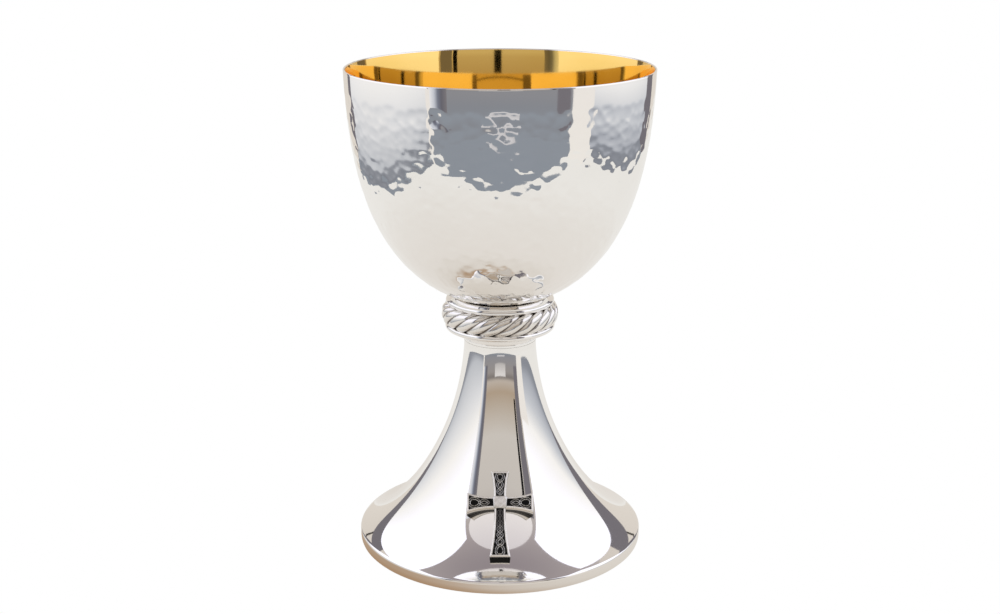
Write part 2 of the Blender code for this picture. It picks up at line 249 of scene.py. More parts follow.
# Colours of the panels, from the bottom up, and of the soft-edged flag from side to side
SOFTBOX_LEFT = (
    (0.0, srgb(128, 131, 139)), (0.03, srgb(148, 151, 159)), (0.045, srgb(192, 195, 201)),
    (0.12, srgb(224, 225, 228)), (0.2, srgb(252, 250, 248)), (0.36, BRIGHT),
)
SOFTBOX_RIGHT = (
    (0.0, srgb(124, 127, 136)), (0.04, srgb(142, 146, 155)), (0.06, srgb(172, 176, 185)),
    (0.11, srgb(204, 207, 213)), (0.17, srgb(252, 250, 248)), (0.36, BRIGHT),
)
SOFT_EDGE = (
    (0.0, srgb(240, 240, 243)), (0.3, srgb(196, 200, 210)), (0.5, srgb(120, 124, 138)),
    (0.7, srgb(104, 103, 112)), (1.0, srgb(126, 122, 126)),
)
BACKDROP = ((0.0, srgb(226, 219, 210)), (1.0, srgb(210, 202, 194)))
WINDOW = ((0.0, srgb(186, 182, 180)), (1.0, srgb(226, 222, 220)))
PAPER = ((0.0, srgb(196, 194, 196)), (1.0, srgb(214, 212, 214)))
BOARD = ((0.0, srgb(240, 236, 230)), (1.0, srgb(238, 233, 228)))


def make_camera():
    lens = bpy.data.cameras.new("camera")
    lens.lens = CAMERA_LENS
    lens.clip_end = 100.0
    camera = bpy.data.objects.new("camera", lens)
    camera.location = CAMERA_PLACE
    camera.rotation_euler = (math.radians(CAMERA_TILT), 0.0, 0.0)
    bpy.context.scene.collection.objects.link(camera)
    bpy.context.scene.camera = camera


def glowing(name, stops):
    """A light-giving material, its texture place, and the colour ramp that still needs an input."""
    material = bpy.data.materials.new(name)
    material.use_nodes = True
    tree = material.node_tree
    tree.nodes.clear()
    place = tree.nodes.new("ShaderNodeTexCoord")
    ramp = tree.nodes.new("ShaderNodeValToRGB")
    emission = tree.nodes.new("ShaderNodeEmission")
    output = tree.nodes.new("ShaderNodeOutputMaterial")
    fill_ramp(ramp, stops)
    tree.links.new(ramp.outputs["Color"], emission.inputs["Color"])
    tree.links.new(emission.outputs[0], output.inputs["Surface"])
    return material, place, ramp


def glow(name, stops, axis="Z"):
    """A light-giving material whose colour runs over its piece's own box along one axis."""
    material, place, ramp = glowing(name, stops)
    tree = material.node_tree
    parts = tree.nodes.new("ShaderNodeSeparateXYZ")
    tree.links.new(place.outputs["Generated"], parts.inputs[0])
    tree.links.new(parts.outputs[axis], ramp.inputs["Fac"])
    return material


def table_glow_with_shadow():
    """The table top is bright, with a warm, dim painted shadow close to the front of the foot."""
    material, place, ramp = glowing("table_top", TABLE_SHADOW_STOPS)
    tree = material.node_tree
    length = tree.nodes.new("ShaderNodeVectorMath")
    length.operation = "DISTANCE"
    length.inputs[1].default_value = TABLE_SHADOW_MIDDLE
    tree.links.new(place.outputs["Object"], length.inputs[0])
    tree.links.new(length.outputs["Value"], ramp.inputs["Fac"])
    return material


def fill_ramp(ramp, stops):
    elements = ramp.color_ramp.elements
    while len(elements) > 1:
        elements.remove(elements[0])
    elements[0].position = stops[0][0]
    elements[0].color = stops[0][1]
    for position, colour in stops[1:]:
        elements.new(position).color = colour


def staged(name, mesh, material, camera=False):
    """A stage piece that either only the camera sees, or only the cup's reflections see."""
    piece = bpy.data.objects.new(name, mesh)
    mesh.materials.append(material)
    bpy.context.scene.collection.objects.link(piece)
    piece.visible_camera = camera
    piece.visible_glossy = not camera
    piece.visible_diffuse = not camera
    piece.visible_transmission = False
    piece.visible_volume_scatter = False
    piece.visible_shadow = False
    return piece


def sheet_mesh(name, corners):
    mesh = bpy.data.meshes.new(name)
    mesh.from_pydata([Vector(corner) for corner in corners], [], [(0, 1, 2, 3)])
    return mesh


def upright(name, start, end, bottom, top, stops, axis="Z"):
    """A flat upright panel between two points on the ground, seen only in reflections."""
    corners = (
        (start[0], start[1], bottom), (end[0], end[1], bottom),
        (end[0], end[1], top), (start[0], start[1], top),
    )
    return staged(name, sheet_mesh(name, corners), glow(name, stops, axis))


def standing(name, distance, start, end, bottom, top, stops, axis="Z"):
    """An upright panel this far from the cup, between two bearings from the front, in degrees."""
    corners = []
    for bearing in (start, end):
        turn = math.radians(bearing)
        corners.append((distance * math.sin(turn), -distance * math.cos(turn)))
    upright(name, corners[0], corners[1], bottom, top, stops, axis)


def plain(colour):
    """The stops of a panel that has one colour all over."""
    return ((0.0, colour), (1.0, colour))


def make_room():
    """The white floor that the camera sees, and the room and table top that the cup mirrors."""
    world = bpy.data.worlds.new("white_room")
    world.use_nodes = True
    world.node_tree.nodes["Background"].inputs["Color"].default_value = WHITE
    bpy.context.scene.world = world

    far = FLOOR_HALF
    floor = sheet_mesh("floor", ((-far, -far, 0), (far, -far, 0), (far, far, 0), (-far, far, 0)))
    staged("floor", floor, glow("floor", plain(WHITE)), camera=True)
    staged("table_top", sheet_mesh("table_top", TABLE_CORNERS), table_glow_with_shadow())

    room = bpy.data.meshes.new("room")
    shape = bmesh.new()
    bmesh.ops.create_uvsphere(shape, u_segments=48, v_segments=32, radius=ROOM_RADIUS)
    shape.to_mesh(room)
    shape.free()
    staged("room", room, glow("room", ROOM_STOPS))


def make_panels():
    """Softboxes, dark flags, stands and paper boards round the cup. Only its reflections see them."""
    upright("backdrop", (1.9, 1.55), (-1.9, 1.55), -0.4, 2.4, BACKDROP)
    upright("softbox_left", (-0.4, -0.336), (-0.4, 0.40), -0.03, 0.82, SOFTBOX_LEFT)
    upright("softbox_right", (0.45, 0.37), (0.45, -0.351), -0.03, 0.9, SOFTBOX_RIGHT)
    flags = (
        ("flag_right_front", 40, 50, -0.02, 0.85, FLAG_GREY),
        ("stand_right", 35.5, 39, 0.12, 0.8, BLACK),
        ("flag_left_back", -143, -134, -0.05, 0.6, FLAG_GREY),
        ("flag_right_back", 130, 143, -0.05, 0.6, FLAG_GREY),
    )
    for name, start, end, bottom, top, colour in flags:
        standing(name, FLAG_DISTANCE, start, end, bottom, top, plain(colour))
    standing("flag_left_front", FLAG_DISTANCE, -50, -37, -0.02, 0.85, SOFT_EDGE, axis="X")
    upright("camera_stand", (-0.003, -0.12), (0.012, -0.12), 0.193, 0.25, plain(BLACK))
    upright("backdrop_rail", (1.6, 1.5), (-1.6, 1.5), 0.74, 0.80, plain(RAIL_GREY))
    standing("window_behind_camera", WINDOW_DISTANCE, -15, 16, -0.17, -0.02, WINDOW)
    standing("paper_below_table", FLAG_DISTANCE, -9, 14, -0.105, -0.065, PAPER)
    standing("board_right", BOARD_DISTANCE, 50, 67, -0.02, 0.122, BOARD)
    standing("board_left", BOARD_DISTANCE, -51, -47.8, -0.02, 0.118, BOARD)


def make_lamp():
    """A wide oval lamp above the front, as bright as an emission of strength LAMP_BRIGHTNESS."""
    lamp = bpy.data.lights.new("lamp_over_front", "AREA")
    lamp.shape = "ELLIPSE"
    lamp.size = LAMP_WIDTH
    lamp.size_y = LAMP_HEIGHT
    lamp.energy = LAMP_WIDTH * LAMP_HEIGHT / 4 * math.pi ** 2 * LAMP_BRIGHTNESS
    lamp.color = LAMP_COLOUR
    holder = bpy.data.objects.new("lamp_over_front", lamp)
    holder.location = LAMP_PLACE
    holder.rotation_euler = (math.radians(LAMP_TILT), 0.0, 0.0)
    holder.visible_camera = False
    bpy.context.scene.collection.objects.link(holder)


# ---------------------------------------------------------------- materials

class Finish:
    """A metal whose colour, roughness and fine relief all come from noise in the piece's own space."""

    def __init__(self, name, bright, dull):
        self.material = bpy.data.materials.new(name)
        self.material.use_nodes = True
        self.tree = self.material.node_tree
        self.shader = self.tree.nodes["Principled BSDF"]
        self.shader.inputs["Metallic"].default_value = 1.0
        self.place = self.tree.nodes.new("ShaderNodeTexCoord")
        clouds = self.noise(28.0, 3.0, (1.0, 1.0, 1.0))
        ramp = self.ramp(clouds, ((0.35, dull), (0.62, bright)))
        self.colour = ramp.outputs["Color"]
        self.roughness = None
        self.normal = None

    def link(self, source, target):
        self.tree.links.new(source, target)

    def noise(self, scale, detail, stretch):
        mapping = self.tree.nodes.new("ShaderNodeMapping")
        mapping.inputs["Scale"].default_value = stretch
        noise = self.tree.nodes.new("ShaderNodeTexNoise")
        noise.inputs["Scale"].default_value = scale
        noise.inputs["Detail"].default_value = detail
        self.link(self.place.outputs["Object"], mapping.inputs["Vector"])
        self.link(mapping.outputs["Vector"], noise.inputs["Vector"])
        return noise.outputs["Fac"]

    def ramp(self, source, stops):
        ramp = self.tree.nodes.new("ShaderNodeValToRGB")
        fill_ramp(ramp, stops)
        self.link(source, ramp.inputs["Fac"])
        return ramp

    def spread(self, source, low, high, out_low, out_high):
        spread = self.tree.nodes.new("ShaderNodeMapRange")
        sockets = {"From Min": low, "From Max": high, "To Min": out_low, "To Max": out_high}
        for socket, value in sockets.items():
            spread.inputs[socket].default_value = value
        self.link(source, spread.inputs["Value"])
        return spread.outputs["Result"]

    def wear(self, smooth, rough, scale=60.0):
        """Roughness that drifts between two values, as on a piece that is handled and wiped."""
        self.roughness = self.spread(self.noise(scale, 4.0, (1.0, 1.0, 1.0)), 0.35, 0.7, smooth, rough)
        return self

    def relief(self, height, scale, stretch=(1.0, 1.0, 1.0), detail=4.0, band=None):
        """Fine relief of this height in millimetres. A large Z stretch makes turning lines.
        A band keeps it between two heights on the cup: none at the first, full at the second."""
        bump = self.tree.nodes.new("ShaderNodeBump")
        bump.inputs["Distance"].default_value = height * MM
        pattern = self.noise(scale, detail, stretch)
        if band:
            parts = self.tree.nodes.new("ShaderNodeSeparateXYZ")
            self.link(self.place.outputs["Object"], parts.inputs[0])
            share = self.spread(parts.outputs["Z"], band[0] * MM, band[1] * MM, 0.0, 1.0)
            product = self.tree.nodes.new("ShaderNodeMath")
            product.operation = "MULTIPLY"
            self.link(share, product.inputs[0])
            self.link(pattern, product.inputs[1])
            pattern = product.outputs[0]
        self.link(pattern, bump.inputs["Height"])
        if self.normal:
            self.link(self.normal, bump.inputs["Normal"])
        self.normal = bump.outputs["Normal"]
        return self

    def darkening(self, attribute, colour, roughness):
        """Dark tarnish where the piece's mesh carries this attribute, with painted shade in it on the
        rope's lower side. A Mix node's sockets go by
        number: 6 and 7 in and 2 out for colours, and 2 and 3 in and 0 out for plain values."""
        mask = self.tree.nodes.new("ShaderNodeAttribute")
        mask.attribute_name = attribute
        mix = self.tree.nodes.new("ShaderNodeMix")
        mix.data_type = "RGBA"
        self.link(mask.outputs["Fac"], mix.inputs["Factor"])
        self.link(self.colour, mix.inputs[6])
        mix.inputs[7].default_value = (*colour, 1.0)
        self.colour = mix.outputs[2]
        dull = self.tree.nodes.new("ShaderNodeMix")
        self.link(mask.outputs["Fac"], dull.inputs["Factor"])
        self.link(self.roughness, dull.inputs[2])
        dull.inputs[3].default_value = roughness
        self.roughness = dull.outputs[0]
        return self

    def done(self):
        self.link(self.colour, self.shader.inputs["Base Color"])
        self.link(self.roughness, self.shader.inputs["Roughness"])
        self.link(self.normal, self.shader.inputs["Normal"])
        return self.material


def make_finishes():
    turning = (1.0, 1.0, 40.0)
    upright_lines = (1.0, 1.0, 0.04)
    brown = (0.075, 0.042, 0.022)
    silver = ((0.955, 0.945, 0.93, 1.0), (0.93, 0.918, 0.90, 1.0))
    gold = ((0.92, 0.63, 0.19, 1.0), (0.88, 0.59, 0.16, 1.0))
    cast = ((0.93, 0.915, 0.89, 1.0), (0.80, 0.775, 0.74, 1.0))
    plate = ((0.70, 0.68, 0.64, 1.0), (0.52, 0.50, 0.46, 1.0))
    steel = ((0.62, 0.61, 0.59, 1.0), (0.46, 0.45, 0.43, 1.0))
    return {
        "hammered_silver": Finish("hammered_silver", *silver).wear(0.02, 0.07)
        .relief(0.0006, 500.0, turning)
        .relief(0.0035, 420.0, upright_lines, 3.0, (HAMMERED_FROM - 1.0, HAMMERED_FROM + 1.5))
        .relief(0.005, 620.0, detail=2.0, band=(HAMMERED_FROM, HAMMERED_FROM - 2.0)).done(),
        "polished_silver": Finish("polished_silver", *silver).wear(0.025, 0.06)
        .relief(0.0006, 60.0, turning).done(),
        "gilt": Finish("gilt", *gold).wear(0.03, 0.08).relief(0.0008, 60.0, turning).done(),
        # The rope's brown is tarnish in its grooves, with painted shade on its lower side.
        "cast_silver": Finish("cast_silver", *cast).wear(0.06, 0.16).relief(0.006, 1400.0)
        .darkening("tarnish_and_shade", brown, 0.55).done(),
        "antiqued_silver": Finish("antiqued_silver", *cast).wear(0.12, 0.22, 400.0)
        .relief(0.006, 1300.0).darkening("tarnish_and_shade", (0.012, 0.012, 0.013), 0.42).done(),
        "plated_inside": Finish("plated_inside", *plate).wear(0.24, 0.42).relief(0.02, 90.0, turning)
        .relief(0.01, 1600.0).done(),
        "fastener_steel": Finish("fastener_steel", *steel).wear(0.2, 0.4, 500.0)
        .relief(0.006, 2200.0).done(),
    }


# ---------------------------------------------------------------- outlines

def curve_points(curve, steps):
    """Points along a cubic Bezier curve given by its two ends and two handles."""
    points = []
    for step in range(steps + 1):
        t = step / steps
        weights = ((1 - t) ** 3, 3 * t * (1 - t) ** 2, 3 * t * t * (1 - t), t ** 3)
        point = [sum(w * place[axis] for w, place in zip(weights, curve)) for axis in (0, 1)]
        points.append(tuple(point))
    return points


def evenly(points, spacing):
    """The same line with points this far apart along it."""
    line = np.array(points)
    along = np.concatenate(([0.0], np.cumsum(np.hypot(*np.diff(line, axis=0).T))))
    places = np.linspace(0.0, along[-1], max(2, round(along[-1] / spacing)) + 1)
    return [(np.interp(p, along, line[:, 0]), np.interp(p, along, line[:, 1])) for p in places]


def inset(points, distance):
    """The outline moved towards the inside of a shell by this distance."""
    line = np.array(points)
    run = np.gradient(line, axis=0)
    run /= np.linalg.norm(run, axis=1)[:, None]
    moved = line + distance * np.stack((run[:, 1], -run[:, 0]), axis=1)
    return [tuple(point) for point in moved]


def rounded(outline, radius, steps=4):
    """A closed outline whose corners are small curves, with its flats kept flat beside them."""
    points = []
    for index, corner in enumerate(outline):
        corner = np.array(corner, dtype=float)
        sides = []
        for other in (outline[index - 1], outline[(index + 1) % len(outline)]):
            side = np.array(other, dtype=float) - corner
            length = np.linalg.norm(side)
            sides.append(side / length * min(radius, 0.4 * length))
        start, end = corner + sides[0], corner + sides[1]
        points.append(tuple(corner + 1.15 * sides[0]))
        for step in range(steps + 1):
            t = step / steps
            points.append(tuple((1 - t) ** 2 * start + 2 * t * (1 - t) * corner + t * t * end))
        points.append(tuple(corner + 1.15 * sides[1]))
    return points


def half_round(inner, outer, base, rise, steps):
    """A lip's outline: half a round from its inner edge over its top to its outer edge."""
    middle, half = (outer + inner) / 2, (outer - inner) / 2
    points = []
    for step in range(steps + 1):
        angle = math.pi * step / steps
        points.append((middle - half * math.cos(angle), base + rise * math.sin(angle)))
    return points


def dish_height(radius):
    """The height of the shallow dish under the bowl, at this distance from the axis."""
    return DISH_BOTTOM + DISH_RADIUS - math.sqrt(DISH_RADIUS ** 2 - radius ** 2)


def bowl_outside(spacing):
    """The bowl's outer line from the lip to the axis: a long curve, then a shallow dish."""
    side = [point for point in curve_points(BOWL_CURVE, 200) if point[0] > DISH_EDGE + 0.6]
    dish = []
    for step in range(21):
        radius = DISH_EDGE * (1 - step / 20)
        dish.append((radius, dish_height(radius)))
    return evenly(side + dish, spacing)


# ---------------------------------------------------------------- meshes

def mesh_of_rings(name, rings, closed):
    """A mesh over rings of points, rows by columns. Rows run down outer sides, columns go round."""
    rows, columns, _ = rings.shape
    index = np.arange(rows * columns).reshape(rows, columns)
    upper = index if closed else index[:-1]
    lower = np.roll(index, -1, axis=0) if closed else index[1:]
    quads = np.stack((upper, lower, np.roll(lower, -1, axis=1), np.roll(upper, -1, axis=1)), axis=-1)
    mesh = bpy.data.meshes.new(name)
    mesh.from_pydata((rings.reshape(-1, 3) * MM).tolist(), [], quads.reshape(-1, 4).tolist())
    return mesh


def rings_of(outline, segments):
    """The rings that a (radius, height) outline sweeps about the cup's axis."""
    line = np.array(outline)
    angles = np.arange(segments) * 2 * math.pi / segments
    rings = np.empty((len(line), segments, 3))
    rings[:, :, 0] = line[:, :1] * np.cos(angles)
    rings[:, :, 1] = line[:, :1] * np.sin(angles)
    rings[:, :, 2] = line[:, 1:]
    return rings


def rings_of_rows(rows, angles):
    """Rings from rows of (radii round the axis, height), for shapes that aren't round."""
    rings = []
    for radii, height in rows:
        flat = height + 0.0 * angles
        rings.append(np.stack((radii * np.cos(angles), radii * np.sin(angles), flat), axis=-1))
    return np.array(rings)


def weld_poles(mesh):
    """Joins each ring that has shrunk to a point on the axis."""
    shape = bmesh.new()
    shape.from_mesh(mesh)
    bmesh.ops.remove_doubles(shape, verts=shape.verts, dist=0.00002 * MM)
    shape.to_mesh(mesh)
    shape.free()


def add_piece(name, mesh, node, slot, finishes, sharp=40.0):
    """Adds a piece that stands for one CAD node, rides with it and takes its finish."""
    mesh.shade_smooth()
    mesh.set_sharp_from_angle(angle=math.radians(sharp))
    mesh.materials.append(finishes[slot])
    piece = bpy.data.objects.new(name, mesh)
    bpy.context.scene.collection.objects.link(piece)
    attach(piece, BODY)
    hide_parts(node)
    return piece


def turned(name, outline, segments, node, slot, finishes, closed=True):
    mesh = mesh_of_rings(name, rings_of(outline, segments), closed)
    if not closed:
        weld_poles(mesh)
    return add_piece(name, mesh, node, slot, finishes)


# ---------------------------------------------------------------- bowl

def blow_centres(line):
    """Where the hammer fell: wavering rows round the bowl, about one blow's width apart."""
    centres = []
    heights = [point[1] for point in line[::-1]]
    radii = [point[0] for point in line[::-1]]
    for radius, height in evenly(line, BLOW_SPACING):
        if height > HAMMERED_FROM - 0.5 * BLOW_SPACING:
            continue
        count = max(3, round(2 * math.pi * radius / BLOW_SPACING))
        start = RANDOM.uniform(0, 2 * math.pi)
        for number in range(count):
            angle = start + (number + RANDOM.uniform(-BLOW_WAVER, BLOW_WAVER)) * 2 * math.pi / count
            rise = height + RANDOM.uniform(-BLOW_WAVER, BLOW_WAVER) * BLOW_SPACING
            reach = np.interp(rise, heights, radii)
            centres.append((reach * math.cos(angle), reach * math.sin(angle), rise))
    return centres


def hammer(rings, line):
    """Presses a shallow, slightly tilted facet into the rings for each blow. Facets meet in ridges."""
    centres = blow_centres(line)
    count = len(centres)
    depths = RANDOM.uniform(*BLOW_DEPTH, count)
    curves = RANDOM.uniform(*BLOW_CURVE, count)
    tilts = [Vector(tilt) for tilt in RANDOM.normal(0.0, BLOW_TILT, (count, 3))]
    tree = KDTree(count)
    for number, centre in enumerate(centres):
        tree.insert(centre, number)
    tree.balance()
    run = np.gradient(np.array(line), axis=0)
    run /= np.linalg.norm(run, axis=1)[:, None]
    highest = BLOW_SPACING ** 2 / (4 * BLOW_CURVE[0])
    for row, (_, height) in enumerate(line):
        if height > HAMMERED_FROM + FADE_ABOVE:
            continue
        fade = min(1.0, (HAMMERED_FROM + FADE_ABOVE - height) / FADE_LENGTH)
        for column in range(rings.shape[1]):
            point = Vector(rings[row, column])
            lift = highest
            for centre, number, distance in tree.find_n(point, FACETS_COMPARED):
                facet = distance * distance / (2 * curves[number]) - depths[number]
                lift = min(lift, facet + (point - centre).dot(tilts[number]))
            radius = max(math.hypot(point[0], point[1]), 0.01)
            press = fade * (lift - highest)
            out = -run[row, 1]
            rings[row, column, 0] += press * out * point[0] / radius
            rings[row, column, 1] += press * out * point[1] / radius
            rings[row, column, 2] += press * run[row, 0]


def opened(points, amount):
    """The outline opened out towards the lip, where the walls thin down."""
    moved = []
    for radius, height in points:
        share = max(0.0, 1 - (BOWL_TOP - height) / LIP_FLARE_DEPTH)
        moved.append((radius + amount * share * share, height))
    return moved


def make_bowl(finishes):
    """The bowl as one closed shell: its plain inside, its round lip and its hammered outside."""
    outside = bowl_outside(BOWL_STEP)[1:]
    inside = opened(inset(bowl_outside(UNSEEN_STEP), BOWL_WALL), BOWL_OPENING)
    inside[-1] = (0.0, inside[-1][1])
    inner_edge = inside[0][0]
    lip = [(inner_edge, BOWL_TOP - 2 * LIP_ROUND)]
    lip += half_round(inner_edge, BOWL_RADIUS, BOWL_TOP - LIP_ROUND, LIP_ROUND, 8)
    outer_rings = rings_of(outside, BOWL_SEGMENTS)
    hammer(outer_rings, outside)
    outer_rings[-1, :, :2] = 0.0
    outer_rings[-1, :, 2] = outside[-1][1]
    inner_rings = rings_of(inside[:0:-1] + lip, BOWL_SEGMENTS)
    mesh = mesh_of_rings("hammered_bowl", np.concatenate((inner_rings, outer_rings)), closed=False)
    weld_poles(mesh)
    add_piece("hammered_bowl", mesh, "bowl_shell", "hammered_silver", finishes, sharp=60.0)


def make_inner_cup(finishes):
    outer_wall = BOWL_WALL + GAP
    outside = opened(inset(bowl_outside(UNSEEN_STEP), outer_wall), LINER_OUTSIDE_OPENING)
    inside = opened(inset(bowl_outside(LINER_STEP), outer_wall + LINER_WALL), LINER_OPENING)
    half = (outside[0][0] - inside[0][0]) / 2
    lip = half_round(inside[0][0], outside[0][0], BOWL_TOP - LINER_DROP - half, half, 6)
    inside[-1] = (0.0, inside[-1][1])
    outside[-1] = (0.0, outside[-1][1])
    outline = inside[:1:-1] + lip + outside[1:]
    turned("gilt_cup", outline, TURNED_SEGMENTS, "inner_cup", "gilt", finishes, closed=False)


def make_boss(finishes):
    top = dish_height(BOSS_RADIUS) - GAP
    boss = [
        (0.0, DISH_BOTTOM - GAP), (BOSS_RADIUS / 2, (DISH_BOTTOM + top - GAP) / 2), (BOSS_RADIUS, top),
        (BOSS_RADIUS, BOSS_BOTTOM), (ROD_CLEARANCE, BOSS_BOTTOM), (ROD_CLEARANCE, BOSS_BORE_TOP),
        (0.0, BOSS_BORE_TOP),
    ]
    name = "bowl_boss_turned"
    turned(name, boss, SMALL_SEGMENTS, "bowl_boss", "plated_inside", finishes, closed=False)


# ---------------------------------------------------------------- knop

def make_rope(finishes):
    """A cast ring of twisted strands. Dark tarnish lies in the grooves between them, and painted shade
    widens it on the ring's lower side.
    """
    columns = ROPE_STRANDS * STRAND_SEGMENTS
    around = np.arange(columns) * 2 * math.pi / columns
    fine = np.linspace(0.0, 2 * math.pi, 2001)
    power = 2 / ROPE_FULLNESS
    out = np.sign(np.cos(fine)) * np.abs(np.cos(fine)) ** power
    up = np.sign(np.sin(fine)) * np.abs(np.sin(fine)) ** power
    length = np.concatenate(([0.0], np.cumsum(np.hypot(np.diff(out), np.diff(up)))))
    places = -np.arange(ROPE_SECTION_POINTS) / ROPE_SECTION_POINTS * length[-1] % length[-1]
    out = np.interp(places, length, out)[:, None]
    up = np.interp(places, length, up)[:, None]
    share = places[:, None] / length[-1]
    phase = ROPE_STRANDS * around[None] - ROPE_TWIST * share * 2 * math.pi + ROPE_PHASE
    swell = np.abs(np.sin(phase / 2))
    groove = GROOVE_DEPTH * (1 - swell ** GROOVE_SHARPNESS)
    radius = ROPE_CENTRE[0] + (ROPE_HALF_WIDTH - groove) * out
    height = ROPE_CENTRE[1] + (ROPE_HALF_HEIGHT - groove) * up
    rings = np.stack((radius * np.cos(around), radius * np.sin(around), height), axis=-1)
    mesh = mesh_of_rings("rope_twist", rings, closed=True)
    tarnish_and_shade = mesh.attributes.new("tarnish_and_shade", "FLOAT", "POINT")
    # Painted shade: the dark in the grooves spreads wider on the ring's lower side.
    low = np.clip(0.5 - up, 0.15, 1.0)
    darkening = smooth(1.15 - swell / (0.13 + 0.3 * low))
    tarnish_and_shade.data.foreach_set("value", darkening.astype(np.float32).ravel())
    add_piece("rope_twist", mesh, "rope_ring", "cast_silver", finishes, sharp=80.0)


def make_knop(finishes):
    core = [
        (CORE_RADIUS, CORE_TOP), (CORE_RADIUS, CORE_BOTTOM), (ROD_CLEARANCE, CORE_BOTTOM),
        (ROD_CLEARANCE, BOSS_BOTTOM - GAP), (BOSS_RADIUS + GAP, BOSS_BOTTOM - GAP),
        (BOSS_RADIUS + GAP, CORE_TOP),
    ]
    core = rounded(core, 0.3)
    turned("knop_core_turned", core, CORE_SEGMENTS, "knop_core", "plated_inside", finishes)

    collar = list(COLLAR_TOP[:2]) + evenly(COLLAR_TOP[1:], 0.4)[1:]
    collar += curve_points(COLLAR_SHOULDER, 14) + list(COLLAR_INSIDE)
    turned("collar_upper", collar, COLLAR_SEGMENTS, "upper_collar", "polished_silver", finishes)

    bead = curve_points(BEAD_CURVE, 14) + curve_points(BEAD_TAPER, 12)[1:] + list(BEAD_INSIDE)
    turned("collar_lower", bead, COLLAR_SEGMENTS, "lower_collar", "polished_silver", finishes)


# ---------------------------------------------------------------- foot

def make_foot(finishes):
    neck = [point for point in curve_points(NECK_CURVE, 80) if point[0] > NECK_RADIUS]
    neck = [(NECK_RADIUS, NECK_TOP), (NECK_RADIUS, NECK_TOP - 0.8)] + neck
    outside = evenly(neck + curve_points(FLARE_CURVE, 120)[1:], FOOT_STEP)
    lining = inset(outside, FOOT_WALL)
    inside = evenly([point for point in lining if point[0] < SKIRT_INSIDE], FOOT_INSIDE_STEP)
    inside[0] = (inside[0][0], outside[0][1])
    edge = curve_points(EDGE_CURVE, 6)[1:] + list(EDGE_BELOW)
    skirt = [(SKIRT_FOOT, 0.0), (SKIRT_INSIDE, 0.15), (SKIRT_INSIDE, 1.5), (SKIRT_INSIDE, 3.0)]
    outline = outside + edge + skirt + inside[::-1]
    segments = TURNED_SEGMENTS
    piece = turned("foot_trumpet", outline, segments, "foot_shell", "polished_silver", finishes)
    piece.data.materials.append(finishes["plated_inside"])
    first_inner = len(outside + edge + skirt) - 1
    for polygon in piece.data.polygons:
        if polygon.index // segments >= first_inner:
            polygon.material_index = 1
    make_foot_ring(lining, finishes)
    make_plug(inside[0][0] - GAP, finishes)


def make_foot_ring(lining, finishes):
    """A stiffening ring that fills the corner between the foot's skirt and its lining."""
    radii = [point[0] for point in lining]
    heights = [point[1] for point in lining]
    outer = SKIRT_INSIDE - GAP
    outer_top = float(np.interp(outer, radii, heights)) - GAP
    inner_top = float(np.interp(RING_INSIDE, radii, heights)) - 2 * GAP
    ring = [(outer, outer_top), (outer, 0.0), (RING_INSIDE, 0.0), (RING_INSIDE, inner_top)]
    ring = rounded(ring, 0.35)
    turned("foot_weight_ring", ring, TURNED_SEGMENTS, "foot_ring", "plated_inside", finishes)


def make_plug(bore, finishes):
    seam = NECK_TOP + SEAM
    plug = [
        (NECK_RADIUS, CAP_TOP), (NECK_RADIUS, seam), (bore, seam),
        (bore, CAP_BOTTOM), (ROD_CLEARANCE, CAP_BOTTOM), (ROD_CLEARANCE, CAP_TOP),
    ]
    plug = rounded(plug, 0.12)
    turned("stem_plug", plug, PLUG_SEGMENTS, "stem_cap", "polished_silver", finishes)


# ---------------------------------------------------------------- fasteners

def thread(angles, height, outer):
    """The radius of a screw thread at each angle, for one height."""
    turn = (height / THREAD_PITCH - angles / (2 * math.pi)) % 1.0
    return outer - THREAD_DEPTH * np.clip(1.6 * np.abs(2 * turn - 1) - 0.35, 0.0, 1.0)


def make_rod(finishes):
    angles = np.arange(ROD_SEGMENTS) * 2 * math.pi / ROD_SEGMENTS
    rows = [(0.0 * angles, ROD_TOP)]
    for height in np.arange(ROD_TOP, ROD_BOTTOM, -THREAD_PITCH / THREAD_STEPS):
        chamfer = ROD_RADIUS - 0.6 + min(ROD_TOP - height, height - ROD_BOTTOM)
        rows.append((np.minimum(thread(angles, height, ROD_RADIUS), chamfer), height))
    rows += [(0.0 * angles + ROD_RADIUS - 0.7, ROD_BOTTOM), (0.0 * angles, ROD_BOTTOM)]
    mesh = mesh_of_rings("threaded_rod", rings_of_rows(rows, angles), closed=False)
    weld_poles(mesh)
    add_piece("threaded_rod", mesh, "tie_rod", "fastener_steel", finishes)


def make_nut(finishes):
    """A hexagon nut with its corners and the ends of its bore chamfered."""
    angles = np.arange(SMALL_SEGMENTS) * 2 * math.pi / SMALL_SEGMENTS
    facet = (angles + math.pi / 6) % (math.pi / 3) - math.pi / 6
    hexagon = NUT_ACROSS_FLATS / 2 / np.cos(facet)
    rows = []
    for share in np.linspace(0.0, 1.0, NUT_OUTER_ROWS):
        height = NUT_TOP - share * (NUT_TOP - NUT_BOTTOM)
        chamfer = NUT_ACROSS_FLATS / 2 - 0.1 + 1.9 * min(NUT_TOP - height, height - NUT_BOTTOM)
        rows.append((np.minimum(hexagon, chamfer), height))
    for height in np.linspace(NUT_BOTTOM, NUT_TOP, NUT_BORE_ROWS):
        entry = 0.5 - min(NUT_TOP - height, height - NUT_BOTTOM)
        rows.append((0.0 * angles + ROD_CLEARANCE + max(0.0, entry), height))
    mesh = mesh_of_rings("nut", rings_of_rows(rows, angles), closed=True)
    add_piece("nut", mesh, "hex_nut", "fastener_steel", finishes, sharp=30.0)


def finish_washers(finishes):
    """The CAD's own washers are kept, with a finish."""
    for node in ("flat_washer", "lock_washer"):
        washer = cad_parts[node]
        washer.data.materials.clear()
        washer.data.materials.append(finishes["fastener_steel"])


# ---------------------------------------------------------------- cross

